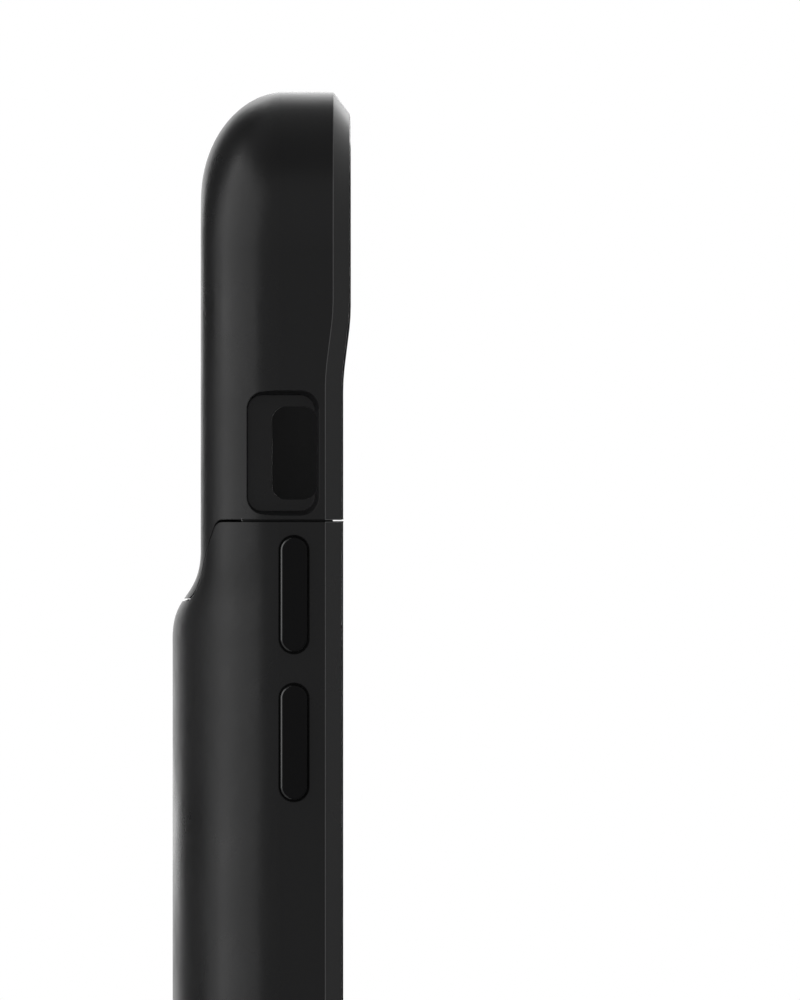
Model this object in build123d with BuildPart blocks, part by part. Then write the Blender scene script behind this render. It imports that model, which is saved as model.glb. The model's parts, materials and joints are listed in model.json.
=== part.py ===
"""Two-piece battery charging case for a phone: a lift-off top cap over a battery housing."""

import os
from math import atan2, cos, degrees, radians, sin

from build123d import *

# Phone that the case is sized for, in millimetres
phone_width = 71.5
phone_height = 146.7
phone_depth = 7.8
phone_corner = 11.6
phone_play = 0.15
depth_play = 0.1

# Walls and spaces
side_wall = 2.15
top_wall = 3.0
chin_height = 8.7
shell_wall = 1.3
tray_thickness = 0.9
cell_space = 4.2
outer_corner = 14.0
pocket_bevel = 1.0
fit_gap = 0.1
cut_margin = 3.0
tangent_overlap = 0.03

# Front lip, raised at the top of the case
lip_thickness = 0.95
lip_cover = 1.1
lip_rise = 0.7
bevel_depth = 1.45
bevel_width = 1.95
raised_lip_drop = 18.8
raised_lip_ease = 7.85
lip_slices = 4

# Rounded back edges: the cap's is near elliptic, the bulge's is long, and the foot's is small
cap_round = 9.7
cap_round_depth = 7.7
bulge_round = 20.0
low_round = 13.4
low_round_rise = 36.0
low_slices = 4
foot_round = 1.5
round_handle = 0.552
bulge_start_handle = 0.6
bulge_end_handle = 0.5
low_start_handle = 0.583
low_end_handle = 0.345

# Ramp from the cap's back to the battery bulge
ramp_step = 2.6
ramp_drop = 41.4
ramp_angle = 39.0
ramp_hollow_radius = 6.2
ramp_lead = 1.0
ramp_slices = 3
corner_slices = 6
corner_lead = 3.0

# Seam between the cap and the housing, with a tongue on the back
seam_drop = 38.4
seam_gap = 0.22
tongue_drop = 45.5
tongue_half_width = 28.6
tongue_inset = 3.95
tongue_turn_radius = 4.0
tongue_start_radius = 1.5
register_height = 0.9
register_thickness = 0.45
prong_width = 8.0
prong_spacing = 28.0
prong_height = 8.6
prong_corner = 2.0

# Mute-switch window in the cap's left side
window_above_seam = 5.95
recess_height = 11.2
recess_width = 6.8
recess_level = 5.4
recess_depth = 1.35
recess_corner = 1.7
recess_taper = 18.0
window_height = 8.3
window_width = 4.0
window_level = 4.2
window_corner = 1.2

# Camera opening in the cap's back, near the right side
camera_edge = 4.5
camera_drop = 3.0
camera_width = 31.5
camera_height = 31.1
camera_corner = 8.5
camera_flare = 28.0
camera_throat = 1.6

# Cap lining and the hollow behind it
liner_bottom_drop = 36.3
liner_top_drop = 5.5
liner_corner = 6.0
liner_edge = 4.6
camera_wall = 1.6
hollow_ledge = 1.5

# Side keys, measured from the front lip and the seam
key_level = 4.25
key_width = 2.4
key_groove = 0.16
key_proud = 0.4
key_edge = 0.3
key_travel = 0.4
volume_key_length = 10.3
side_key_length = 16.4
volume_up_below_seam = 6.7
volume_key_pitch = 13.2
side_key_below_seam = 13.3
flange_thickness = 0.4
flange_margin = 0.5
stop_gap = 0.05
retainer_thickness = 0.2
retainer_margin = 0.45
boss_width = 1.3
boss_length = 5.0
boss_gap = 0.15

# Inner tray
tray_edge = 4.55
tray_corner = 8.0
tray_foot_gap = 1.5

# Cell and its board
cell_bay_bottom = 30.0
cell_bay_top = 108.0
cell_bay_edge = 5.9
cell_width = 43.0
cell_pad_thickness = 0.25
cell_pad_width = 12.0
cell_pad_spacing = 20.0
cell_pad_end = 6.0
cell_gap = 0.4
cell_side_round = 1.2
cell_board_height = 2.6
cell_board_width = 38.0
cell_front_gap = 0.1
lead_width = 3.0
lead_spacing = 9.0
lead_thickness = 0.15
lead_lap = 1.2

# Control board and what is on it
board_bay_width = 47.0
board_bay_top = 27.5
board_width = 45.0
board_thickness = 0.8
board_setback = 0.85
board_edge_gap = 0.4
screw_spacing = 39.0
screw_height = 17.5
screw_diameter = 1.2
screw_length = 2.4
screw_play = 0.05
screw_head_diameter = 2.6
screw_head_height = 0.6
screw_socket_size = 1.0
screw_socket_depth = 0.35
screw_post_diameter = 3.6
chip_place = (-9.5, 12.5)
inductor_place = (12.0, 12.5)
capacitor_row = 12.5
chip_size = 5.0
chip_height = 0.9
inductor_size = 5.2
inductor_height = 2.1
inductor_round = 0.8
capacitor_size = (1.6, 0.9, 0.8)
capacitor_pitch = 2.4
capacitor_count = 4

# Charging inlet in the bottom end
port_width = 8.94
port_height = 3.2
port_wall = 0.3
port_length = 7.8
port_setback = 0.4
port_base = 1.2
port_tongue_width = 6.6
port_tongue_thickness = 0.7
port_tongue_setback = 1.0

# Plug that enters the phone
plug_width = 8.3
plug_height = 2.45
plug_length = 6.5
plug_wall = 0.28
plug_slot_width = 6.7
plug_slot_height = 0.8
plug_slot_depth = 5.4
boot_width = 18.4
boot_depth = 5.0
boot_height = 4.7
boot_corner = 1.5
flex_width = 3.4
flex_offset = 7.0
flex_thickness = 0.2
flex_gap = 0.3
flex_lap = 2.0
flex_start = 1.0

# Sound slots in the chin
sound_slot_width = 1.4
sound_slot_length = 4.6
sound_slot_pitch = 6.0
sound_slot_count = 2
sound_slot_offset = 18.5

# Charge display on the back
display_height = 19.0
led_pitch = 4.0
led_count = 4
led_offset = -5.0
led_size = (1.6, 0.8, 0.6)
guide_post_width = 1.7
guide_post_height = 0.9
guide_margin = 1.0
guide_height = 2.4
guide_gap = 0.15
status_offset = 8.5
status_diameter = 5.0
status_groove = 0.15
status_setback = 0.1
status_flange_margin = 0.8
status_flange_thickness = 0.5
status_travel = 0.35
switch_size = 3.2
switch_height = 1.0
switch_plunger_diameter = 1.6
switch_plunger_height = 0.3
stem_diameter = 2.0

# Overall sizes that follow from the above
pocket_width = phone_width + 2 * phone_play
pocket_height = phone_height + 2 * phone_play
pocket_depth = phone_depth + depth_play
pocket_corner = phone_corner + phone_play
case_width = pocket_width + 2 * side_wall
case_height = chin_height + pocket_height + top_wall
body_depth = lip_thickness + pocket_depth + tray_thickness + cell_space + shell_wall
half_width = case_width / 2

# Depth levels, front negative
bulge_back = (body_depth + lip_rise) / 2
lip_front = bulge_back - body_depth
raised_front = lip_front - lip_rise
pocket_front = lip_front + lip_thickness
pocket_back = pocket_front + pocket_depth
tray_back = pocket_back + tray_thickness
cell_back = tray_back + cell_space
cap_back = bulge_back - ramp_step
round_start = cap_back - cap_round_depth
bulge_round_depth = cap_round_depth + ramp_step
phone_middle = (pocket_front + pocket_back) / 2
key_y = lip_front + key_level
board_front = tray_back + board_setback
board_back = board_front + board_thickness

# Heights
board_bottom = port_setback + port_length
board_bay_bottom = board_bottom - board_edge_gap
board_top = board_bay_top - board_edge_gap
boot_bottom = chin_height - boot_height
cell_board_bottom = cell_bay_bottom + cell_gap
cell_bottom = cell_board_bottom + cell_board_height
cell_top = cell_bay_top - cell_gap
tray_bottom = chin_height + tray_foot_gap
pocket_middle = chin_height + pocket_height / 2
seam_z = case_height - seam_drop
tongue_z = case_height - tongue_drop
ramp_top = case_height - ramp_drop
tray_top = tongue_z - seam_gap
prong_top = tongue_z + prong_height


def edge_curve(start_handle, end_handle, inset, depth):
    """Rounded back edge as one cubic curve, cut at its middle into two; points are (inset, depth)."""
    p0, p1 = Vector(0, 0), Vector(0, start_handle * depth)
    p2, p3 = Vector(inset * (1 - end_handle), depth), Vector(inset, depth)
    a, b, c = (p0 + p1) / 2, (p1 + p2) / 2, (p2 + p3) / 2
    d, e = (a + b) / 2, (b + c) / 2
    return [p0, a, d, (d + e) / 2, e, c, p3]


def foot_curve():
    """Square bottom edge with a small round at its back, in the same two pieces."""
    flat = bulge_round_depth - foot_round
    handle = round_handle * foot_round
    inner = [Vector(0, 0), Vector(0, flat / 3), Vector(0, flat - handle), Vector(0, flat)]
    outer = [Vector(0, flat + handle), Vector(foot_round - handle, bulge_round_depth)]
    return inner + outer + [Vector(foot_round, bulge_round_depth)]


def mix(first, second, share):
    """Curve between two edge curves."""
    return [p + (q - p) * share for p, q in zip(first, second)]


cap_curve = edge_curve(round_handle, round_handle, cap_round, cap_round_depth)
bulge_curve = edge_curve(bulge_start_handle, bulge_end_handle, bulge_round, bulge_round_depth)
low_curve = edge_curve(low_start_handle, low_end_handle, low_round, bulge_round_depth)
bottom_curve = foot_curve()


def placed(curve, outer):
    """Edge curve set against a wall that stands at the given distance."""
    return [(outer - p.X, round_start + p.Y) for p in curve]


def edge_waste(plane, outer, curve):
    """Section of what the rounded edge takes away from a square one; it starts just outside the wall."""
    points = placed(curve, outer + tangent_overlap)
    end_x, end_y = points[-1]
    with BuildSketch(plane) as waste:
        with BuildLine():
            Bezier(*points[:4])
            Bezier(*points[3:])
            Polyline(
                points[-1],
                (end_x, end_y + cut_margin),
                (outer + cut_margin, end_y + cut_margin),
                (outer + cut_margin, round_start),
                points[0],
            )
        make_face()
    return waste.sketch


def cross_section(height, curve):
    """Whole cross section of the case at one height: its front bevels and its rounded back edges."""
    plane = Plane.XY.offset(height)
    back = round_start + curve[-1].Y
    with BuildSketch(plane) as square:
        with BuildLine():
            Polyline(
                (0, lip_front),
                (half_width - bevel_width, lip_front),
                (half_width, lip_front + bevel_depth),
                (half_width, back),
                (0, back),
            )
            mirror(about=Plane.YZ)
        make_face()
    waste = edge_waste(plane, half_width, curve)
    return square.sketch - waste - waste.mirror(Plane.YZ)


def outline(depth):
    """Front outline of the case at one depth."""
    with BuildSketch(Plane.XZ.offset(-depth)) as face:
        with Locations((0, case_height / 2)):
            RectangleRounded(case_width, case_height, outer_corner)
    return face.sketch


def slab(back, front):
    """Block with the case's outline and a bevel round its front."""
    with BuildPart() as block:
        extrude(outline(back), amount=back - front - bevel_depth)
        bevel_angle = degrees(atan2(bevel_width, bevel_depth))
        extrude(outline(front + bevel_depth), amount=bevel_depth, taper=bevel_angle)
    return block.part


def ramp_stations():
    """Heights down the ramp, each with its share of the step: a hollow arc, then a crown arc."""
    turn = radians(ramp_angle)
    crown = ramp_step / (1 - cos(turn)) - ramp_hollow_radius
    bottom = ramp_top - (ramp_hollow_radius + crown) * sin(turn)
    stations = [(ramp_top + ramp_lead, 0.0)]
    for i in range(ramp_slices + 1):
        angle = turn * i / ramp_slices
        share = ramp_hollow_radius * (1 - cos(angle)) / ramp_step
        stations.append((ramp_top - ramp_hollow_radius * sin(angle), share))
    for i in reversed(range(ramp_slices)):
        angle = turn * i / ramp_slices
        stations.append((bottom + crown * sin(angle), 1 - crown * (1 - cos(angle)) / ramp_step))
    stations.append((bottom - ramp_lead, 1.0))
    return stations


def ease(share):
    """Smooth step from 0 to 1."""
    return share * share * (3 - 2 * share)


def corner_plane(angle, lead=0.0):
    """Section plane turned about the right bottom corner's axis, or led on past it."""
    a = radians(angle)
    travel = Vector(-sin(a), 0, -cos(a))
    origin = Vector(half_width - outer_corner, 0, outer_corner) + travel * lead
    return Plane(origin=origin, x_dir=(cos(a), 0, -sin(a)), z_dir=(sin(a), 0, cos(a)))


stations = ramp_stations()
ramp_upper = stations[0][0]
ramp_lower = stations[-1][0]

# Outer form, ramp: the cap's cross section grows into the bulge's
with BuildPart() as ramp_form:
    loft(sections=[cross_section(z, mix(cap_curve, bulge_curve, share)) for z, share in stations])

# Outer form, cap: one edge profile swept up the sides and round the top
with BuildPart() as cap_form:
    add(slab(cap_back, raised_front))
    split(bisect_by=Plane.XY.offset(ramp_upper), keep=Keep.TOP)
    with BuildLine(Plane.XZ.offset(-round_start)) as rim:
        top, side = case_height, half_width
        Line((side, ramp_upper - cut_margin), (side, top - outer_corner))
        RadiusArc((side, top - outer_corner), (side - outer_corner, top), -outer_corner)
        Line((side - outer_corner, top), (outer_corner - side, top))
        RadiusArc((outer_corner - side, top), (-side, top - outer_corner), -outer_corner)
        Line((-side, top - outer_corner), (-side, ramp_upper - cut_margin))
    rim_start = Plane.XY.offset(ramp_upper - cut_margin)
    sweep(sections=edge_waste(rim_start, half_width, cap_curve), path=rim.line, mode=Mode.SUBTRACT)

lip_top = case_height - raised_lip_drop
lip_bottom = lip_top - raised_lip_ease


def lip_waste(height, front):
    """Section of what stands before the lip at one height."""
    with BuildSketch(Plane.XY.offset(height)) as waste:
        with BuildLine():
            Polyline(
                (0, front),
                (half_width - bevel_width, front),
                (half_width, front + bevel_depth),
                (half_width + cut_margin, front + bevel_depth),
                (half_width + cut_margin, raised_front - cut_margin),
                (0, raised_front - cut_margin),
            )
            mirror(about=Plane.YZ)
        make_face()
    return waste.sketch


# What is taken off the front so that the lip stands raised only at the top
with BuildPart() as lip_cut:
    lower_waste = lip_waste(ramp_upper - cut_margin, lip_front)
    extrude(lower_waste, amount=lip_bottom - ramp_upper + cut_margin)
    lip_sections = []
    for i in range(lip_slices + 1):
        share = i / lip_slices
        lip_level = lip_front - lip_rise * ease(share)
        lip_sections.append(lip_waste(lip_bottom + raised_lip_ease * share, lip_level))
    loft(sections=lip_sections)

# Outer form, bulge: long rounds down the sides that tighten towards the corners and the square foot
with BuildPart() as side_waste:
    side_base = outer_corner + corner_lead
    side_middle = side_base + low_round_rise
    side_profile = edge_waste(Plane.XY.offset(side_middle), half_width, bulge_curve)
    extrude(side_profile, amount=ramp_lower + cut_margin - side_middle)
    low_sections = []
    for i in range(low_slices + 1):
        share = i / low_slices
        low_plane = Plane.XY.offset(side_base + low_round_rise * share)
        low_sections.append(edge_waste(low_plane, half_width, mix(low_curve, bulge_curve, ease(share))))
    loft(sections=low_sections)

with BuildPart() as corner_waste:
    corner_sections = [edge_waste(corner_plane(0, -corner_lead), outer_corner, low_curve)]
    for i in range(corner_slices + 1):
        turned = corner_plane(90 * i / corner_slices)
        curve = mix(low_curve, bottom_curve, ease(i / corner_slices))
        corner_sections.append(edge_waste(turned, outer_corner, curve))
    corner_sections.append(edge_waste(corner_plane(90, corner_lead), outer_corner, bottom_curve))
    loft(sections=corner_sections)

with BuildPart() as foot_waste:
    foot_profile = edge_waste(corner_plane(90, corner_lead), outer_corner, bottom_curve)
    extrude(foot_profile, amount=outer_corner + corner_lead - half_width)

with BuildPart() as case_form:
    add(slab(bulge_back, lip_front))
    split(bisect_by=Plane.XY.offset(ramp_lower), keep=Keep.BOTTOM)
    for waste in (side_waste, corner_waste, foot_waste):
        add(waste.part, mode=Mode.SUBTRACT)
        add(waste.part.mirror(Plane.YZ), mode=Mode.SUBTRACT)
    add(ramp_form.part)
    add(cap_form.part - lip_cut.part)

# Space that the phone fills, open at the front inside the lip
with BuildPart() as pocket:
    with BuildSketch(Plane.XZ.offset(-pocket_back)):
        with Locations((0, pocket_middle)):
            RectangleRounded(pocket_width, pocket_height, pocket_corner)
    extrude(amount=pocket_depth)
    chamfer(pocket.faces().sort_by(Axis.Y)[-1].edges(), length=pocket_bevel)
    with BuildSketch(Plane.XZ.offset(-pocket_front)):
        with Locations((0, pocket_middle)):
            screen_size = (pocket_width - 2 * lip_cover, pocket_height - 2 * lip_cover)
            RectangleRounded(*screen_size, pocket_corner - lip_cover)
    extrude(amount=lip_thickness + lip_rise + cut_margin)


def above_seam(drop):
    """Everything above the seam, let down by a drop: level round the sides, with a tongue on the back."""
    level, tip = seam_z - drop, tongue_z - drop
    with BuildPart() as upper:
        with BuildSketch(Plane.XZ.offset(-bulge_back - cut_margin)):
            with BuildLine():
                FilletPolyline(
                    (0, tip),
                    (tongue_half_width, tip),
                    (half_width - tongue_inset, level),
                    (half_width + cut_margin, level),
                    radius=[tongue_turn_radius, tongue_start_radius],
                )
                ceiling = case_height + cut_margin
                Polyline((half_width + cut_margin, level), (half_width + cut_margin, ceiling), (0, ceiling))
                mirror(about=Plane.YZ)
            make_face()
        extrude(amount=body_depth + lip_rise + 2 * cut_margin)
    return upper.part


volume_up_z = seam_z - volume_up_below_seam
keys = {
    "volume_up_button": (-1, volume_up_z, volume_key_length),
    "volume_down_button": (-1, volume_up_z - volume_key_pitch, volume_key_length),
    "side_button": (1, seam_z - side_key_below_seam, side_key_length),
}

# Distances of the keys' seats from the middle plane, from the pocket outwards
key_inner = pocket_width / 2
retainer_outer = key_inner + retainer_thickness
flange_inner = retainer_outer + key_travel + stop_gap
flange_outer = flange_inner + flange_thickness
key_floor = flange_outer + stop_gap
flange_width = key_width + 2 * flange_margin
retainer_width = flange_width + 2 * retainer_margin


def retainer_span(side):
    """Lowest and highest point of the strip that holds one side's keys."""
    reach = flange_margin + retainer_margin
    rows = [(z, length / 2 + reach) for key_side, z, length in keys.values() if key_side == side]
    return min(z - half for z, half in rows), max(z + half for z, half in rows)


def retainer_outline(side, margin):
    """Outline of a retainer strip, or of its seat."""
    low, high = retainer_span(side)
    with BuildSketch(Plane.YZ.offset(side * key_inner)) as strip:
        with Locations((key_y, (low + high) / 2)):
            Rectangle(retainer_width + 2 * margin, high - low + 2 * margin)
    return strip.sketch


# Top cap
camera_x = half_width - camera_edge - camera_width / 2
camera_z = case_height - camera_drop - camera_height / 2
throat_y = pocket_back + camera_throat
window_z = seam_z + window_above_seam
liner_right = camera_x - camera_width / 2 - camera_wall
liner_left = liner_edge - half_width
liner_bottom = case_height - liner_bottom_drop
liner_top = case_height - liner_top_drop
liner_width = liner_right - liner_left
liner_height = liner_top - liner_bottom
liner_x = (liner_left + liner_right) / 2
liner_z = (liner_bottom + liner_top) / 2

with BuildPart() as top_cap:
    add(case_form.part)
    add(above_seam(0), mode=Mode.INTERSECT)
    add(pocket.part, mode=Mode.SUBTRACT)
    # camera opening, straight through and flared towards the back
    with BuildSketch(Plane.XZ.offset(-throat_y)) as camera_outline:
        with Locations((camera_x, camera_z)):
            RectangleRounded(camera_width, camera_height, camera_corner)
    extrude(amount=throat_y - pocket_front, mode=Mode.SUBTRACT)
    flare_reach = cap_back - throat_y + fit_gap
    extrude(camera_outline.sketch, amount=-flare_reach, taper=-camera_flare, mode=Mode.SUBTRACT)
    # seat of the lining and the hollow behind it
    with BuildSketch(Plane.XZ.offset(-tray_back)):
        with Locations((liner_x, liner_z)):
            RectangleRounded(liner_width + 2 * fit_gap, liner_height + 2 * fit_gap, liner_corner)
    extrude(amount=tray_thickness, mode=Mode.SUBTRACT)
    with BuildSketch(Plane.XZ.offset(shell_wall - cap_back)):
        with Locations((liner_x, liner_z)):
            hollow_size = (liner_width - 2 * hollow_ledge, liner_height - 2 * hollow_ledge)
            RectangleRounded(*hollow_size, liner_corner - hollow_ledge)
    extrude(amount=cap_back - shell_wall - tray_back, mode=Mode.SUBTRACT)
    # mute-switch window in its finger recess
    with BuildSketch(Plane.YZ.offset(-half_width)):
        with Locations((lip_front + recess_level, window_z)):
            RectangleRounded(recess_width, recess_height, recess_corner)
    extrude(amount=recess_depth, taper=recess_taper, mode=Mode.SUBTRACT)
    with BuildSketch(Plane.YZ.offset(-half_width)):
        with Locations((lip_front + window_level, window_z)):
            RectangleRounded(window_width, window_height, window_corner)
    extrude(amount=side_wall + pocket_bevel, mode=Mode.SUBTRACT)
    # slots for the tray's prongs and the housing's register lips
    with BuildSketch(Plane.XZ.offset(-tray_back - fit_gap)):
        with Locations((0, tongue_z)):
            with GridLocations(prong_spacing, 0, 2, 1):
                RectangleRounded(prong_width + 2 * fit_gap, 2 * (prong_height + fit_gap), prong_corner)
    extrude(amount=tray_thickness + fit_gap, mode=Mode.SUBTRACT)
    with BuildSketch(Plane.XY.offset(seam_z + register_height + fit_gap)):
        with Locations((0, phone_middle)):
            reach = pocket_width + 2 * (register_thickness + fit_gap)
            Rectangle(reach, pocket_depth + 2 * fit_gap)
    extrude(amount=-register_height - 2 * fit_gap, mode=Mode.SUBTRACT)

with BuildPart() as cap_liner:
    with BuildSketch(Plane.XZ.offset(-tray_back)):
        with Locations((liner_x, liner_z)):
            RectangleRounded(liner_width, liner_height, liner_corner)
    extrude(amount=tray_thickness)

# Inner tray, with two prongs that run up into the cap
tray_width = case_width - 2 * tray_edge


def tray_outline(margin):
    """Outline of the tray's plate, or of its seat."""
    with BuildSketch(Plane.XZ.offset(-tray_back)) as plate:
        with Locations((0, (tray_bottom + tray_top) / 2)):
            RectangleRounded(tray_width + 2 * margin, tray_top - tray_bottom + 2 * margin, tray_corner)
    return plate.sketch


with BuildPart() as inner_tray:
    extrude(tray_outline(0), amount=tray_thickness)
    with BuildSketch(Plane.XZ.offset(-tray_back)):
        with Locations((0, tray_top)):
            with GridLocations(prong_spacing, 0, 2, 1):
                RectangleRounded(prong_width, 2 * (prong_top - tray_top), prong_corner)
    extrude(amount=tray_thickness)

# Bays behind the tray: the cell's follows the bulge's rounds within the shell's wall
bay_curve = edge_curve(bulge_start_handle, bulge_end_handle, bulge_round, bulge_round_depth - shell_wall)
bay_height = cell_bay_top - cell_bay_bottom
bay_corner = (Align.CENTER, Align.MIN, Align.MIN)
with BuildPart() as cell_bay:
    with BuildSketch(Plane.XY.offset(cell_bay_bottom)):
        with BuildLine():
            bay_points = placed(bay_curve, half_width - shell_wall)
            Bezier(*bay_points[:4])
            Bezier(*bay_points[3:])
            Line(bay_points[-1], (0, bay_points[-1][1]))
            Line((0, round_start), bay_points[0])
            mirror(about=Plane.YZ)
        make_face()
    extrude(amount=bay_height)
    with Locations((0, tray_back, cell_bay_bottom)):
        Box(case_width - 2 * cell_bay_edge, cell_space, bay_height, align=bay_corner, mode=Mode.INTERSECT)

with BuildPart() as board_bay:
    with Locations((0, tray_back, board_bay_bottom)):
        Box(board_bay_width, cell_space, board_bay_top - board_bay_bottom, align=bay_corner)

port_y = (board_front + board_back) / 2


def key_stadium(plane, z, length, width):
    """Stadium outline at a key's place on the side."""
    with BuildSketch(plane) as face:
        with Locations((key_y, z)):
            SlotOverall(length, width, rotation=90)
    return face.sketch


def key_block(plane, z, length, width):
    """Square-cornered outline at a key's place on the side."""
    with BuildSketch(plane) as face:
        with Locations((key_y, z)):
            Rectangle(width, length)
    return face.sketch


with BuildPart() as battery_housing:
    add(case_form.part)
    add(above_seam(seam_gap), mode=Mode.SUBTRACT)
    add(pocket.part, mode=Mode.SUBTRACT)
    # seat of the tray, and the bays behind it with a notch for the leads between them
    extrude(tray_outline(fit_gap), amount=tray_thickness, mode=Mode.SUBTRACT)
    add(cell_bay.part, mode=Mode.SUBTRACT)
    add(board_bay.part, mode=Mode.SUBTRACT)
    with Locations((0, tray_back, board_bay_top)):
        notch_width = lead_spacing + lead_width + 2 * cell_gap
        notch_depth = board_back - tray_back
        Box(notch_width, notch_depth, cell_bay_bottom - board_bay_top, align=bay_corner, mode=Mode.SUBTRACT)
    # posts for the board's screws
    with BuildSketch(Plane.XZ.offset(-cell_back)):
        with Locations((0, screw_height)):
            with GridLocations(screw_spacing, 0, 2, 1):
                Circle(screw_post_diameter / 2)
    extrude(amount=cell_back - board_back)
    with BuildSketch(Plane.XZ.offset(-board_front - screw_length - screw_play)):
        with Locations((0, screw_height)):
            with GridLocations(screw_spacing, 0, 2, 1):
                Circle(screw_diameter / 2 + screw_play)
    extrude(amount=screw_length + screw_play, mode=Mode.SUBTRACT)
    # chin: seat of the plug, channel of its flat link, tunnel of the charging inlet and sound slots
    with BuildSketch(Plane.XY.offset(boot_bottom)):
        with Locations((0, phone_middle)):
            RectangleRounded(boot_width + 2 * fit_gap, boot_depth + 2 * fit_gap, boot_corner)
    extrude(amount=boot_height, mode=Mode.SUBTRACT)
    channel_bottom = boot_bottom - flex_thickness - flex_gap
    channel_width = flex_width + 2 * flex_gap
    with BuildSketch(Plane.YZ.offset(flex_offset - channel_width / 2)):
        channel_start = phone_middle - flex_start - flex_gap
        channel_end = board_front + flex_gap
        channel_length = channel_end - channel_start
        with Locations((channel_start, channel_bottom)):
            Rectangle(channel_length, boot_bottom - channel_bottom, align=(Align.MIN, Align.MIN))
        with Locations((channel_end, channel_bottom)):
            channel_depth = flex_thickness + 2 * flex_gap
            channel_height = board_bottom + flex_lap - channel_bottom
            Rectangle(channel_depth, channel_height, align=(Align.MAX, Align.MIN))
    extrude(amount=channel_width, mode=Mode.SUBTRACT)
    with BuildSketch(Plane.XY):
        with Locations((0, port_y)):
            SlotOverall(port_width + 2 * fit_gap, port_height + 2 * fit_gap)
    extrude(amount=board_bottom + fit_gap, mode=Mode.SUBTRACT)
    with BuildSketch(Plane.XY):
        with Locations((-sound_slot_offset, phone_middle), (sound_slot_offset, phone_middle)):
            with GridLocations(sound_slot_pitch, 0, sound_slot_count, 1):
                SlotOverall(sound_slot_length, sound_slot_width)
    extrude(amount=chin_height, mode=Mode.SUBTRACT)
    # charge display: four light points and the status button's hole
    with BuildSketch(Plane.XZ.offset(-bulge_back)):
        with Locations((led_offset, display_height)):
            with GridLocations(led_pitch, 0, led_count, 1):
                Rectangle(guide_post_width + 2 * stop_gap, guide_post_height + 2 * stop_gap)
        with Locations((status_offset, display_height)):
            Circle(status_diameter / 2 + status_groove)
    extrude(amount=shell_wall, mode=Mode.SUBTRACT)
    # lips that register in the cap across the seam
    for side in (-1, 1):
        with Locations((side * key_inner, phone_middle, seam_z + register_height)):
            lip_end = Align.MIN if side > 0 else Align.MAX
            lip_size = (register_thickness, pocket_depth, 2 * register_height + seam_gap)
            Box(*lip_size, align=(lip_end, Align.CENTER, Align.MAX))
    # slots and seats of the side keys
    for side, z, length in keys.values():
        wall_plane = Plane.YZ.offset(side * key_inner)
        slot = key_stadium(wall_plane, z, length + 2 * key_groove, key_width + 2 * key_groove)
        extrude(slot, amount=side * (side_wall + cut_margin), mode=Mode.SUBTRACT)
        seat_length = length + 2 * (flange_margin + fit_gap)
        seat_width = flange_width + 2 * fit_gap
        seat = key_block(wall_plane, z, seat_length, seat_width)
        extrude(seat, amount=side * (key_floor - key_inner), mode=Mode.SUBTRACT)
    for side in (-1, 1):
        extrude(retainer_outline(side, stop_gap), amount=side * retainer_thickness, mode=Mode.SUBTRACT)


def side_key(side, z, length):
    """Key cap: a stadium that stands proud of the wall, with a flange and an inner boss behind it."""
    with BuildPart() as key:
        face = key_stadium(Plane.YZ.offset(side * flange_outer), z, length, key_width)
        extrude(face, amount=side * (half_width + key_proud - flange_outer))
        top_face = key.faces().sort_by(Axis.X)[-1 if side > 0 else 0]
        chamfer(top_face.edges(), length=key_edge)
        flange_plane = Plane.YZ.offset(side * flange_inner)
        flange = key_block(flange_plane, z, length + 2 * flange_margin, flange_width)
        extrude(flange, amount=side * flange_thickness)
        boss = key_block(Plane.YZ.offset(side * (key_inner + stop_gap)), z, boss_length, boss_width)
        extrude(boss, amount=side * (flange_inner - key_inner - stop_gap))
    return key


def retainer(side):
    """Strip over the backs of one side's keys, with a window for each boss."""
    with BuildPart() as strip:
        extrude(retainer_outline(side, 0), amount=side * retainer_thickness)
        for key_side, z, length in keys.values():
            if key_side == side:
                wall_plane = Plane.YZ.offset(side * key_inner)
                window = key_block(wall_plane, z, boss_length + 2 * boss_gap, boss_width + 2 * boss_gap)
                extrude(window, amount=side * retainer_thickness, mode=Mode.SUBTRACT)
    return strip


# Cell with its pads, protection board and leads
with BuildPart() as battery_cell:
    with BuildSketch(Plane.XY.offset(cell_bottom)):
        cell_front = tray_back + cell_front_gap
        cell_depth = cell_back - cell_pad_thickness - cell_front
        with Locations((0, cell_front + cell_depth / 2)):
            RectangleRounded(cell_width, cell_depth, cell_side_round)
    extrude(amount=cell_top - cell_bottom)

with BuildPart() as adhesive_pads:
    with Locations((0, cell_back - cell_pad_thickness, (cell_bottom + cell_top) / 2)):
        with GridLocations(cell_pad_spacing, 0, 2, 1):
            pad_size = (cell_pad_width, cell_pad_thickness, cell_top - cell_bottom - 2 * cell_pad_end)
            Box(*pad_size, align=(Align.CENTER, Align.MIN, Align.CENTER))

with BuildPart() as cell_board:
    with Locations((0, board_front, cell_board_bottom)):
        Box(cell_board_width, board_thickness, cell_board_height, align=bay_corner)

with BuildPart() as cell_leads:
    with Locations((0, board_front - lead_thickness, board_top - lead_lap)):
        with GridLocations(lead_spacing, 0, 2, 1):
            Box(lead_width, lead_thickness, cell_board_bottom - board_top + 2 * lead_lap, align=bay_corner)

# Control board, its screws and its parts
with BuildPart() as control_board:
    with BuildSketch(Plane.XZ.offset(-board_back)):
        with Locations((0, board_bottom)):
            Rectangle(board_width, board_top - board_bottom, align=(Align.CENTER, Align.MIN))
        with Locations((0, screw_height)):
            with GridLocations(screw_spacing, 0, 2, 1):
                Circle(screw_diameter / 2 + screw_play, mode=Mode.SUBTRACT)
    extrude(amount=board_thickness)

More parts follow.
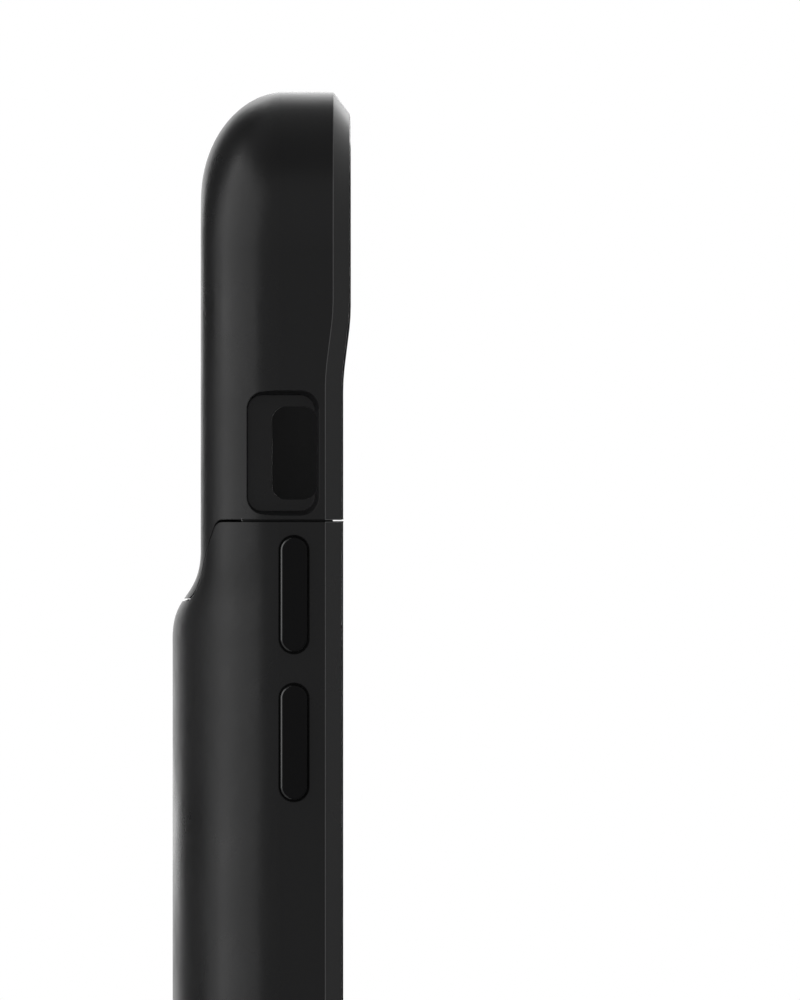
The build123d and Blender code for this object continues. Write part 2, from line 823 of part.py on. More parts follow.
with BuildPart() as board_screws:
    with BuildSketch(Plane.XZ.offset(-board_front)):
        with Locations((0, screw_height)):
            with GridLocations(screw_spacing, 0, 2, 1):
                Circle(screw_head_diameter / 2)
    extrude(amount=screw_head_height)
    with BuildSketch(Plane.XZ.offset(screw_head_height - board_front)):
        with Locations((0, screw_height)):
            with GridLocations(screw_spacing, 0, 2, 1):
                RegularPolygon(screw_socket_size / 2, 6)
    extrude(amount=-screw_socket_depth, mode=Mode.SUBTRACT)
    with BuildSketch(Plane.XZ.offset(-board_front)):
        with Locations((0, screw_height)):
            with GridLocations(screw_spacing, 0, 2, 1):
                Circle(screw_diameter / 2)
    extrude(amount=-screw_length)

with BuildPart() as charger_chip:
    with BuildSketch(Plane.XZ.offset(-board_back)):
        with Locations(chip_place):
            Rectangle(chip_size, chip_size)
    extrude(amount=-chip_height)

with BuildPart() as boost_inductor:
    with BuildSketch(Plane.XZ.offset(-board_back)):
        with Locations(inductor_place):
            RectangleRounded(inductor_size, inductor_size, inductor_round)
    extrude(amount=-inductor_height)

with BuildPart() as board_capacitors:
    with BuildSketch(Plane.XZ.offset(-board_back)):
        with Locations((0, capacitor_row)):
            with GridLocations(capacitor_pitch, 0, capacitor_count, 1):
                Rectangle(capacitor_size[1], capacitor_size[0])
    extrude(amount=-capacitor_size[2])

# Charging inlet
with BuildPart() as charge_port_shell:
    with BuildSketch(Plane.XY.offset(port_setback)):
        with Locations((0, port_y)):
            SlotOverall(port_width, port_height)
            SlotOverall(port_width - 2 * port_wall, port_height - 2 * port_wall, mode=Mode.SUBTRACT)
    extrude(amount=port_length)

with BuildPart() as charge_port_tongue:
    with BuildSketch(Plane.XY.offset(board_bottom - port_base)):
        with Locations((0, port_y)):
            bore_play = port_wall + stop_gap
            SlotOverall(port_width - 2 * bore_play, port_height - 2 * bore_play)
    extrude(amount=port_base)
    with BuildSketch(Plane.XY.offset(port_setback + port_tongue_setback)):
        with Locations((0, port_y)):
            Rectangle(port_tongue_width, port_tongue_thickness)
    extrude(amount=port_length - port_base - port_tongue_setback)

# Plug that enters the phone, with its flat link to the board
with BuildPart() as phone_plug_boot:
    with BuildSketch(Plane.XY.offset(boot_bottom)):
        with Locations((0, phone_middle)):
            RectangleRounded(boot_width, boot_depth, boot_corner)
    extrude(amount=boot_height)

with BuildPart() as phone_plug_shell:
    with BuildSketch(Plane.XY.offset(chin_height)):
        with Locations((0, phone_middle)):
            SlotOverall(plug_width, plug_height)
            SlotOverall(plug_width - 2 * plug_wall, plug_height - 2 * plug_wall, mode=Mode.SUBTRACT)
    extrude(amount=plug_length)

with BuildPart() as phone_plug_core:
    with BuildSketch(Plane.XY.offset(chin_height)):
        with Locations((0, phone_middle)):
            core_play = plug_wall + stop_gap
            SlotOverall(plug_width - 2 * core_play, plug_height - 2 * core_play)
    extrude(amount=plug_length - plug_wall)
    with BuildSketch(Plane.XY.offset(chin_height + plug_length - plug_wall)):
        with Locations((0, phone_middle)):
            Rectangle(plug_slot_width, plug_slot_height)
    extrude(amount=-plug_slot_depth, mode=Mode.SUBTRACT)

with BuildPart() as plug_flex:
    with BuildSketch(Plane.YZ.offset(flex_offset - flex_width / 2)):
        flex_bottom = boot_bottom - flex_thickness
        with Locations((phone_middle - flex_start, flex_bottom)):
            Rectangle(board_front - phone_middle + flex_start, flex_thickness, align=(Align.MIN, Align.MIN))
        with Locations((board_front, flex_bottom)):
            Rectangle(flex_thickness, board_bottom + flex_lap - flex_bottom, align=(Align.MAX, Align.MIN))
    extrude(amount=flex_width)

# Charge display
led_front = board_back + led_size[2]
with BuildPart() as status_leds:
    with BuildSketch(Plane.XZ.offset(-board_back)):
        with Locations((led_offset, display_height)):
            with GridLocations(led_pitch, 0, led_count, 1):
                Rectangle(led_size[0], led_size[1])
    extrude(amount=-led_size[2])

with BuildPart() as light_guide:
    with BuildSketch(Plane.XZ.offset(-cell_back)):
        with Locations((led_offset, display_height)):
            guide_width = (led_count - 1) * led_pitch + guide_post_width + 2 * guide_margin
            RectangleRounded(guide_width, guide_height, guide_margin)
    extrude(amount=cell_back - led_front - guide_gap)
    with BuildSketch(Plane.XZ.offset(-cell_back)):
        with Locations((led_offset, display_height)):
            with GridLocations(led_pitch, 0, led_count, 1):
                Rectangle(guide_post_width, guide_post_height)
    extrude(amount=-shell_wall + stop_gap)

switch_top = board_back + switch_height + switch_plunger_height
with BuildPart() as status_switch:
    with BuildSketch(Plane.XZ.offset(-board_back)):
        with Locations((status_offset, display_height)):
            Rectangle(switch_size, switch_size)
    extrude(amount=-switch_height)
    with BuildSketch(Plane.XZ.offset(-board_back - switch_height)):
        with Locations((status_offset, display_height)):
            Circle(switch_plunger_diameter / 2)
    extrude(amount=-switch_plunger_height)

with BuildPart() as status_button:
    status_flange_back = cell_back - stop_gap
    status_flange_front = status_flange_back - status_flange_thickness
    with BuildSketch(Plane.XZ.offset(-status_flange_back)):
        with Locations((status_offset, display_height)):
            Circle(status_diameter / 2)
    extrude(amount=status_flange_back - bulge_back + status_setback)
    chamfer(status_button.faces().sort_by(Axis.Y)[-1].edges(), length=key_edge)
    with BuildSketch(Plane.XZ.offset(-status_flange_back)):
        with Locations((status_offset, display_height)):
            Circle(status_diameter / 2 + status_flange_margin)
    extrude(amount=status_flange_thickness)
    with BuildSketch(Plane.XZ.offset(-status_flange_front)):
        with Locations((status_offset, display_height)):
            Circle(stem_diameter / 2)
    extrude(amount=status_flange_front - switch_top - status_travel - stop_gap)

pieces = {
    "top_cap": top_cap,
    "cap_liner": cap_liner,
    "battery_housing": battery_housing,
    "inner_tray": inner_tray,
    "battery_cell": battery_cell,
    "adhesive_pads": adhesive_pads,
    "cell_board": cell_board,
    "cell_leads": cell_leads,
    "control_board": control_board,
    "board_screws": board_screws,
    "charger_chip": charger_chip,
    "boost_inductor": boost_inductor,
    "board_capacitors": board_capacitors,
    "charge_port_shell": charge_port_shell,
    "charge_port_tongue": charge_port_tongue,
    "phone_plug_boot": phone_plug_boot,
    "phone_plug_shell": phone_plug_shell,
    "phone_plug_core": phone_plug_core,
    "plug_flex": plug_flex,
    "status_leds": status_leds,
    "light_guide": light_guide,
    "status_switch": status_switch,
    "status_button": status_button,
    "volume_retainer": retainer(-1),
    "side_retainer": retainer(1),
}
for name, place in keys.items():
    pieces[name] = side_key(*place)

os.makedirs("parts", exist_ok=True)
for name, piece in pieces.items():
    piece.part.label = name
    export_step(piece.part, f"parts/{name}.step")
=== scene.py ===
"""Looks of a two-piece battery charging case: finishes, small fittings and a studio stage."""

import json
import math

import bmesh
import bpy
from bpy.props import FloatProperty, FloatVectorProperty, IntProperty, PointerProperty
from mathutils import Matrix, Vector

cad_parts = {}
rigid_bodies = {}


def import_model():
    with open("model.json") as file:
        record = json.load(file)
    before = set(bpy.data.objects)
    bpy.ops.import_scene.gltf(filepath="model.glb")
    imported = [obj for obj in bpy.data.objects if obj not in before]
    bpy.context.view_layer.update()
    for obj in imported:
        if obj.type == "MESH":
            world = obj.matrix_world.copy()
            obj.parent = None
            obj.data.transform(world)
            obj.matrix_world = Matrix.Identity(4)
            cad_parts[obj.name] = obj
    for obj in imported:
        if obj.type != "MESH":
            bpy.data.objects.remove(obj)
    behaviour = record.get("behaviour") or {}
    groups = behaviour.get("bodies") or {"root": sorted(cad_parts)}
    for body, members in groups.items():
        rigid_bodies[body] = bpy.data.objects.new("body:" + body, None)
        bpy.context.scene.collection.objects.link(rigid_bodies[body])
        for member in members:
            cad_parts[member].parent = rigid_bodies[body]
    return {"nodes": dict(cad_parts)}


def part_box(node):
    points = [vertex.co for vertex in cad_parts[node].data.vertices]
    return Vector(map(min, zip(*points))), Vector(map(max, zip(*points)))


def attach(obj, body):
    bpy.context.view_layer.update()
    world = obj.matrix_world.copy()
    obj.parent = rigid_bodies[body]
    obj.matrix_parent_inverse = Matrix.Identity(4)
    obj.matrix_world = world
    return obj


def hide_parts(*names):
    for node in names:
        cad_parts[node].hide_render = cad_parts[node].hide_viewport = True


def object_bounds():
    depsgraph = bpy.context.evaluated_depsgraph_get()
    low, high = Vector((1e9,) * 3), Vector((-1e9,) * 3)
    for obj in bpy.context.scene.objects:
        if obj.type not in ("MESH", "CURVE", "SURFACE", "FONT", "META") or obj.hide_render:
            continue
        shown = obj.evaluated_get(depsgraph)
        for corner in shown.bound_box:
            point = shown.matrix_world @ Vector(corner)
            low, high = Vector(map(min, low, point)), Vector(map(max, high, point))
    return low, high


bl_info = {
    "name": "Battery Charging Case",
    "version": (1, 0, 0),
    "blender": (4, 5, 0),
    "location": "3D View > Sidebar > Charging Case",
    "description": "Dresses a two-piece battery charging case and sets it on a studio stage",
    "category": "Object",
}

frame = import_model()
cad_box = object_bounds()

WHITE = (1.0, 1.0, 1.0, 1.0)

# Points closer together than this, in metres, count as one
SAME_PLACE = 1e-7

# Faces that meet at less than this angle are shaded as one surface
SMOOTH_ANGLE = math.radians(35.0)

# Sides of a button's round outline, segments of its rim, and rings of a finger dish
ROUND_SIDES = 48
RIM_SEGMENTS = 6
DISH_RINGS = 6

# Values that a noise texture mostly keeps between, and how far patches differ in roughness
NOISE_LOW = 0.3
NOISE_HIGH = 0.7
ROUGHNESS_CHANGE = 0.06


def colour(label, purpose, value):
    """A colour that a user can change in the sidebar."""
    return FloatVectorProperty(
        name=label, description=purpose, default=value, subtype="COLOR", size=3, min=0.0, max=1.0
    )


def length(label, purpose, value):
    """A length in metres that a user can change in the sidebar."""
    return FloatProperty(
        name=label, description=purpose, default=value, subtype="DISTANCE", unit="LENGTH", precision=6
    )


def share(label, purpose, value):
    """A share between nothing and one that a user can change in the sidebar."""
    return FloatProperty(
        name=label, description=purpose, default=value, subtype="FACTOR", min=0.0, max=1.0
    )


def power(label, purpose, value):
    """A lamp's power in watts that a user can change in the sidebar."""
    return FloatProperty(name=label, description=purpose, default=value, unit="POWER")


class CaseFinish(bpy.types.PropertyGroup):
    """Colours and surface grain of the case."""

    shell: colour("Shell", "Soft-touch coating of the two shells", (0.0065, 0.0065, 0.0068))
    shell_roughness: share("Shell roughness", "Roughness of the soft-touch coating", 0.3)
    shell_gloss: share("Shell gloss", "Specular level of the soft-touch coating", 0.14)
    grain: length("Coating grain", "Width of one grain of the soft-touch coating", 0.00022)
    grain_depth: length("Grain depth", "Height of the coating's grain", 0.000004)
    edge_round: length("Edge rounding", "Radius that moulded edges catch the light with", 0.00012)
    # Lighter than the shell: a painted highlight on the bead along the lip's parting line
    highlight_line: colour("Highlight line", "Coating lightened along the lip's parting line", (0.03, 0.03, 0.031))
    key: colour("Volume keys", "Satin black of the volume keys", (0.0025, 0.0025, 0.0027))
    liner: colour("Liner", "Microfibre in the cap and on the tray", (0.018, 0.018, 0.02))
    steel: colour("Steel", "Drawn steel of the port and plug shells", (0.55, 0.55, 0.56))
    contact: colour("Contacts", "Gold plating of the contacts", (0.72, 0.46, 0.16))
    black_plastic: colour("Black plastic", "Glass-filled plastic of the plug and port", (0.01, 0.01, 0.011))
    board: colour("Board", "Solder mask of the boards", (0.008, 0.07, 0.03))
    foil: colour("Cell foil", "Laminated foil of the battery cell", (0.55, 0.56, 0.58))
    tape: colour("Foam tape", "Foam pads under the cell", (0.6, 0.58, 0.52))
    nickel: colour("Nickel", "Flat leads of the cell", (0.58, 0.56, 0.52))
    epoxy: colour("Chip", "Moulded epoxy of the chip", (0.012, 0.012, 0.012))
    ferrite: colour("Ferrite", "Core of the inductor", (0.05, 0.05, 0.055))
    ceramic: colour("Capacitors", "Ceramic of the capacitors", (0.34, 0.22, 0.11))
    film: colour("Flex film", "Amber film of the flat link", (0.36, 0.14, 0.02))
    window: colour("Light windows", "Frosted plastic of the light guide", (0.42, 0.44, 0.45))
    lens: colour("Lamp lenses", "Clear lens of the status lamps", (0.75, 0.75, 0.7))


class CaseFittings(bpy.types.PropertyGroup):
    """Sizes of the keys, the status button, the contacts and the parting line."""

    key_rim: length("Key rim", "Radius of the rim of a side key", 0.00022)
    key_margin: length("Key flange margin", "How far a key's flange stands out round its stem", 0.0005)
    key_flange: length("Key flange", "Thickness of a key's flange", 0.0004)
    key_boss: length("Key boss", "Height of the boss that presses inwards", 0.0006)
    boss_width: length("Boss width", "Width of a key's boss", 0.0013)
    boss_length: length("Boss length", "Length of a key's boss", 0.005)
    button_rim: length("Button rim", "Radius of the rim of the status button", 0.0003)
    button_margin: length("Button flange margin", "How far the button's flange stands out", 0.0008)
    button_disc: length("Button disc", "Thickness of the button's disc", 0.00125)
    button_flange: length("Button flange", "Thickness of the button's flange", 0.0005)
    button_stem: length("Button stem", "Radius of the button's stem", 0.001)
    button_dish: length("Button dish", "Depth of the finger dish", 0.00022)
    contacts: IntProperty(
        name="Contacts", description="Contacts on each face of a connector", default=12, min=1
    )
    contact_pitch: length("Contact pitch", "Spacing of the contacts", 0.0005)
    contact_width: length("Contact width", "Width of a contact", 0.00026)
    contact_length: length("Contact length", "Length of a contact", 0.0036)
    contact_proud: length("Contact height", "How far a contact stands out of its plastic", 0.00004)
    contact_bevel: share("Contact bevel", "Bevel of a contact's edges, as a share of its height", 0.4)
    tongue_half: length("Inlet tongue", "Half the thickness of the inlet's tongue", 0.00035)
    tongue_inset: length("Inlet inset", "How far the contacts lie behind the tongue's end", 0.0005)
    slot_half: length("Plug slot", "Half the height of the slot in the plug", 0.0004)
    slot_inset: length("Plug inset", "How far the contacts lie inside the slot's mouth", 0.0007)
    parting_bead: length("Parting bead", "Radius of the moulding line along the lip's bevel", 0.00004)


class CaseStage(bpy.types.PropertyGroup):
    """Camera, floor and lamps."""

    lens: FloatProperty(
        name="Lens", description="Focal length of the camera", default=1000.0, subtype="DISTANCE_CAMERA"
    )
    pixels_per_mm: FloatProperty(
        name="Pixels per mm",
        description="Scale of the photographed side at a picture height of 1000",
        default=11.2,
    )
    aim_depth: length("Aim depth", "Y of the point at the middle of the picture", -0.012494)
    aim_height: length("Aim height", "Z of the point at the middle of the picture", 0.12205)
    floor_size: length("Floor size", "Side of the square floor", 3.0)
    floor: colour("Floor", "Paper on the floor", (0.82, 0.82, 0.82))
    sky: share("Room light", "Strength of the even light from the room", 0.55)
    key_lamp: power("Key lamp", "Power of the lamp over the back", 11.5)
    fill_lamp: power("Fill lamp", "Power of the lamp at the front", 2.0)
    side_lamp: power("Side lamp", "Power of the lamp beside the long key", 6.5)


def new_material(name):
    """A material with only its output and main shader, and the tree they stand in."""
    material = bpy.data.materials.new(name)
    material.use_nodes = True
    return material, material.node_tree


def add_node(tree, kind, **values):
    """Adds a shader node and sets its sockets by name."""
    made = tree.nodes.new(kind)
    for socket, value in values.items():
        made.inputs[socket.replace("_", " ")].default_value = value
    return made


def grain_coordinates(tree, stretch):
    """Object coordinates, squeezed along the axes that a grain runs along."""
    place = add_node(tree, "ShaderNodeTexCoord")
    mapping = add_node(tree, "ShaderNodeMapping", Scale=stretch)
    tree.links.new(place.outputs["Object"], mapping.inputs["Vector"])
    return mapping.outputs["Vector"]


def noise(tree, vector, size, detail):
    """Noise with features of one size, in metres."""
    made = add_node(tree, "ShaderNodeTexNoise", Scale=1.0 / size, Detail=detail, Roughness=0.55)
    tree.links.new(vector, made.inputs["Vector"])
    return made.outputs["Fac"]


def spread(tree, factor, low, high):
    """Noise turned into a range of values."""
    made = add_node(
        tree, "ShaderNodeMapRange", From_Min=NOISE_LOW, From_Max=NOISE_HIGH, To_Min=low, To_Max=high
    )
    tree.links.new(factor, made.inputs["Value"])
    return made.outputs["Result"]


def tint(tree, factor, base, change):
    """Two shades of one colour, mixed by a pattern."""
    made = add_node(tree, "ShaderNodeMix")
    made.data_type = "RGBA"
    dark, light = [socket for socket in made.inputs if socket.type == "RGBA"]
    dark.default_value = (*(part * (1.0 - change) for part in base), 1.0)
    light.default_value = (*(min(1.0, part * (1.0 + change)) for part in base), 1.0)
    tree.links.new(factor, made.inputs[0])
    return [socket for socket in made.outputs if socket.type == "RGBA"][0]


def surface(
    name,
    base,
    roughness,
    grain,
    depth,
    change=0.1,
    stretch=(1.0, 1.0, 1.0),
    edge=0.0,
    gloss=0.5,
    metallic=0.0,
    broad=0.012,
    sheen=0.0,
):
    """A moulded, drawn or printed surface: grain as bump, and patches of shade and roughness."""
    material, tree = new_material(name)
    shader = tree.nodes["Principled BSDF"]
    shader.inputs["Metallic"].default_value = metallic
    shader.inputs["Specular IOR Level"].default_value = gloss
    shader.inputs["Sheen Weight"].default_value = sheen
    vector = grain_coordinates(tree, stretch)
    fine = noise(tree, vector, grain, detail=3.0)
    patches = noise(tree, vector, broad, detail=5.0)
    tree.links.new(tint(tree, patches, base, change), shader.inputs["Base Color"])
    low = roughness - ROUGHNESS_CHANGE
    high = roughness + ROUGHNESS_CHANGE
    tree.links.new(spread(tree, patches, low, high), shader.inputs["Roughness"])
    bump = add_node(tree, "ShaderNodeBump", Strength=1.0, Distance=depth)
    tree.links.new(fine, bump.inputs["Height"])
    tree.links.new(bump.outputs["Normal"], shader.inputs["Normal"])
    if edge:
        rounding = add_node(tree, "ShaderNodeBevel", Radius=edge)
        rounding.samples = 6
        tree.links.new(rounding.outputs["Normal"], bump.inputs["Normal"])
    return material


def solder_mask(name, look):
    """The lacquer of a circuit board."""
    return surface(name, look.board, roughness=0.4, grain=0.0006, depth=0.000006, change=0.3)


def paint(material, *nodes):
    """Gives CAD nodes a finish."""
    for name in nodes:
        mesh = frame["nodes"][name].data
        mesh.materials.clear()
        mesh.materials.append(material)


def pick(piece):
    """Makes a piece the active one and the only one that is selected."""
    bpy.ops.object.select_all(action="DESELECT")
    piece.select_set(True)
    bpy.context.view_layer.objects.active = piece


def settle(piece):
    """Keeps a piece's place, turn and scale in its mesh."""
    pick(piece)
    bpy.ops.object.transform_apply(location=True, rotation=True, scale=True)


def select_points(piece, wanted):
    """Selects the wanted points, with the edges and faces between them, and gives their numbers."""
    mesh = bmesh.from_edit_mesh(piece.data)
    mesh.verts.index_update()
    chosen = {point.index for point in mesh.verts if wanted(point)}
    bpy.ops.mesh.select_all(action="DESELECT")
    mesh = bmesh.from_edit_mesh(piece.data)
    for point in mesh.verts:
        point.select = point.index in chosen
    mesh.select_flush(True)
    bmesh.update_edit_mesh(piece.data)
    return chosen


def shape_ends(piece, points, old, new):
    """Changes one round-ended outline into another: each is a level, an end radius and a reach."""
    old_level, old_radius, old_reach = old
    new_level, new_radius, new_reach = new
    grow = new_radius / old_radius
    for side in (-1, 1):
        select_points(piece, lambda point: point.index in points and point.co.y * side > 0)
        bpy.ops.transform.resize(
            value=(grow, grow, 1.0), center_override=(0.0, side * old_reach, old_level)
        )
        bpy.ops.transform.translate(value=(0.0, side * (new_reach - old_reach), new_level - old_level))
    select_points(piece, lambda point: point.index in points)


def stepped_button(name, steps, rim, face_finish, rim_finish):
    """Stacks round-ended plates from the outer face inwards, along Z, and rounds the outer rim."""
    face_level, face_radius, _ = steps[0]
    half_side = math.pi / ROUND_SIDES
    bpy.ops.object.select_all(action="DESELECT")
    bpy.ops.mesh.primitive_circle_add(
        vertices=ROUND_SIDES, radius=face_radius, fill_type="NGON", rotation=(0.0, 0.0, half_side)
    )
    piece = bpy.context.active_object
    piece.name = name
    piece.data.materials.append(face_finish)
    piece.data.materials.append(rim_finish)
    settle(piece)
    bpy.ops.object.mode_set(mode="EDIT")
    points = select_points(piece, lambda point: True)
    shape_ends(piece, points, (0.0, face_radius, 0.0), steps[0])
    for old, new in zip(steps, steps[1:]):
        bpy.ops.mesh.extrude_region()
        points = select_points(piece, lambda point: point.select)
        shape_ends(piece, points, old, new)
    bpy.ops.mesh.select_all(action="SELECT")
    bpy.ops.mesh.normals_make_consistent(inside=False)
    select_points(piece, lambda point: point.co.z > face_level - SAME_PLACE)
    bpy.ops.mesh.bevel(
        offset=rim,
        offset_type="OFFSET",
        segments=RIM_SEGMENTS,
        affect="EDGES",
        clamp_overlap=False,
        material=1,
    )
    bpy.ops.object.mode_set(mode="OBJECT")
    return piece


def face_out(piece, place, outward):
    """Stands a piece at its place with its Z axis turned outwards."""
    piece.location = place
    piece.rotation_euler = Vector(outward).to_track_quat("Z", "Y").to_euler()
    settle(piece)


def copy_piece(piece, name, shift):
    """A copy of a piece with its own mesh, moved along."""
    pick(piece)
    bpy.ops.object.duplicate()
    made = bpy.context.active_object
    made.name = name
    made.location = shift
    settle(made)
    return made


def fit_piece(piece, body):
    """Smooths a finished piece and sets it on the body that it moves with."""
    pick(piece)
    bpy.ops.object.shade_smooth_by_angle(angle=SMOOTH_ANGLE)
    weighted = piece.modifiers.new("weighted_normals", "WEIGHTED_NORMAL")
    weighted.keep_sharp = True
    bpy.ops.object.modifier_apply(modifier=weighted.name)
    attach(piece, body)


class CHARGING_CASE_OT_shells(bpy.types.Operator):
    """Coat the top cap and the battery housing, and run a parting line along their lips"""

    bl_idname = "charging_case.shells"
    bl_label = "Shells"

    def execute(self, context):
        look = context.scene.case_finish
        sizes = context.scene.case_fittings
        coat = surface(
            "soft_touch_coat",
            look.shell,
            roughness=look.shell_roughness,
            grain=look.grain,
            depth=look.grain_depth,
            edge=look.edge_round,
            gloss=look.shell_gloss,
        )
        paint(coat, "top_cap", "battery_housing")
        # The bead is real geometry, but its lighter colour is a painted highlight along the lip's bevel edge
        highlight_line = surface(
            "painted_highlight_parting_line", look.highlight_line, roughness=0.3, grain=look.grain, depth=look.grain_depth
        )
        for node, body in (("top_cap", "cap"), ("battery_housing", "housing")):
            line = self.parting_line(node, sizes.parting_bead)
            line.data.materials.append(highlight_line)
            fit_piece(line, body)
        return {"FINISHED"}

    def parting_line(self, node, radius):
        """Runs a fine bead along the edge between a shell's side and the bevel of its front lip."""
        pick(frame["nodes"][node])
        bpy.ops.object.duplicate()
        line = bpy.context.active_object
        line.name = node + "_parting_line"
        bpy.ops.object.parent_clear(type="CLEAR_KEEP_TRANSFORM")
        line.data.materials.clear()
        bpy.ops.object.mode_set(mode="EDIT")
        bpy.ops.mesh.select_mode(type="EDGE")
        bpy.ops.mesh.select_all(action="SELECT")
        bpy.ops.mesh.remove_doubles(threshold=SAME_PLACE)
        mesh = bmesh.from_edit_mesh(line.data)
        for edge in mesh.edges:
            edge.select_set(not self.on_bevel_edge(edge))
        bmesh.update_edit_mesh(line.data)
        bpy.ops.mesh.delete(type="EDGE")
        bpy.ops.mesh.select_all(action="SELECT")
        bpy.ops.mesh.delete_loose(use_verts=True, use_edges=False, use_faces=False)
        bpy.ops.mesh.select_mode(type="VERT")
        bpy.ops.object.mode_set(mode="OBJECT")
        bpy.ops.object.convert(target="CURVE")
        line = bpy.context.active_object
        line.data.bevel_depth = radius
        line.data.bevel_resolution = 2
        line.data.use_fill_caps = True
        bpy.ops.object.convert(target="MESH")
        return bpy.context.active_object

    def on_bevel_edge(self, edge):
        """True where an upright side face meets the front bevel, away from the flat ends."""
        if len(edge.link_faces) != 2:
            return False
        end_inset = 0.0003
        low = cad_box[0].z + end_inset
        high = cad_box[1].z - end_inset
        inside = all(low < point.co.z < high for point in edge.verts)
        lip_back = -0.005
        in_front = all(point.co.y < lip_back for point in edge.verts)
        # Limits for the Y of the two normals: the bevel looks partly to the front, the side neither way
        bevel_low = -0.9
        bevel_high = -0.7
        side_limit = 0.1
        bevel, side = sorted(face.normal.y for face in edge.link_faces)
        return inside and in_front and bevel_low < bevel < bevel_high and abs(side) < side_limit


class CHARGING_CASE_OT_keys(bpy.types.Operator):
    """Model the side keys with their flanges and bosses, and finish their retainers"""

    bl_idname = "charging_case.keys"
    bl_label = "Side keys"

    def execute(self, context):
        look = context.scene.case_finish
        sizes = context.scene.case_fittings
        satin = surface("satin_key", look.key, roughness=0.25, grain=0.0003, depth=0.000001, gloss=0.06)
        polish = surface(
            "polished_key_rim", look.key, roughness=0.2, grain=0.0003, depth=0.000001, gloss=0.42
        )
        matt = surface(
            "matt_key", look.shell, roughness=0.48, grain=look.grain, depth=look.grain_depth, gloss=0.2
        )
        black = surface("retainer_black", look.black_plastic, roughness=0.55, grain=0.0004, depth=0.000006)
        paint(black, "volume_retainer", "side_retainer")
        upper = self.side_key(sizes, "volume_up_button", -1, satin, polish)
        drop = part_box("volume_down_button")[0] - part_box("volume_up_button")[0]
        lower = copy_piece(upper, "volume_down_key", drop)
        long_key = self.side_key(sizes, "side_button", 1, matt, matt)
        for piece, node, body, slot in (
            (upper, "volume_up_button", "volume_up", "key_gloss"),
            (lower, "volume_down_button", "volume_down", "key_gloss"),
            (long_key, "side_button", "side", "key_matt"),
        ):
            fit_piece(piece, body)
            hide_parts(node)
        return {"FINISHED"}

    def side_key(self, sizes, node, side, face_finish, rim_finish):
        """Models a key in its node's place. The rim keeps its own finish only where it faces the back."""
        low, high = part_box(node)
        depth = high.x - low.x
        flange_radius = (high.y - low.y) / 2
        reach = (high.z - low.z) / 2 - flange_radius
        stem_radius = flange_radius - sizes.key_margin
        boss_radius = sizes.boss_width / 2
        boss_reach = sizes.boss_length / 2 - boss_radius
        boss_top = -depth + sizes.key_boss
        stem_end = boss_top + sizes.key_flange
        steps = (
            (0.0, stem_radius, reach),
            (stem_end, stem_radius, reach),
            (stem_end, flange_radius, reach),
            (boss_top, flange_radius, reach),
            (boss_top, boss_radius, boss_reach),
            (-depth, boss_radius, boss_reach),
        )
        piece = stepped_button(node.replace("button", "key"), steps, sizes.key_rim, face_finish, rim_finish)
        outer = high.x if side > 0 else low.x
        face_out(piece, (outer, (low.y + high.y) / 2, (low.z + high.z) / 2), (side, 0.0, 0.0))
        back_rim_slope = 0.15
        for face in piece.data.polygons:
            if face.normal.y < back_rim_slope:
                face.material_index = 0
        return piece


class CHARGING_CASE_OT_button(bpy.types.Operator):
    """Model the status button with its finger dish"""

    bl_idname = "charging_case.button"
    bl_label = "Status button"

    def execute(self, context):
        look = context.scene.case_finish
        sizes = context.scene.case_fittings
        low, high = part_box("status_button")
        depth = high.y - low.y
        flange_radius = (high.x - low.x) / 2
        disc_radius = flange_radius - sizes.button_margin
        flange_end = -sizes.button_disc - sizes.button_flange
        steps = (
            (0.0, disc_radius, 0.0),
            (-sizes.button_disc, disc_radius, 0.0),
            (-sizes.button_disc, flange_radius, 0.0),
            (flange_end, flange_radius, 0.0),
            (flange_end, sizes.button_stem, 0.0),
            (-depth, sizes.button_stem, 0.0),
        )
        satin = surface("satin_button", look.key, roughness=0.32, grain=0.0003, depth=0.000002, gloss=0.3)
        piece = stepped_button("status_key", steps, sizes.button_rim, satin, satin)
        self.press_dish(piece, disc_radius - sizes.button_rim, sizes.button_dish)
        face_out(piece, ((low.x + high.x) / 2, high.y, (low.z + high.z) / 2), (0.0, 1.0, 0.0))
        fit_piece(piece, "status")
        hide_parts("status_button")
        return {"FINISHED"}

    def press_dish(self, piece, radius, depth):
        """Sinks the outer face ring by ring into a shallow bowl."""
        bpy.ops.object.mode_set(mode="EDIT")
        select_points(piece, lambda point: point.co.z > -SAME_PLACE)
        quarter_turn = math.pi / 2
        for ring in range(DISH_RINGS):
            bpy.ops.mesh.inset(thickness=radius / (DISH_RINGS + 1))
            here = ring / DISH_RINGS
            there = (ring + 1) / DISH_RINGS
            fall = math.sin(here * quarter_turn) - math.sin(there * quarter_turn)
            bpy.ops.transform.translate(value=(0.0, 0.0, fall * depth))
        bpy.ops.object.mode_set(mode="OBJECT")


class CHARGING_CASE_OT_linings(bpy.types.Operator):
    """Line the cap and the tray with microfibre"""

    bl_idname = "charging_case.linings"
    bl_label = "Linings"

    def execute(self, context):
        look = context.scene.case_finish
        fibre = surface(
            "microfibre",
            look.liner,
            roughness=0.92,
            grain=0.00016,
            depth=0.00005,
            change=0.3,
            gloss=0.1,
            sheen=0.25,
        )
        paint(fibre, "cap_liner", "inner_tray")
        return {"FINISHED"}


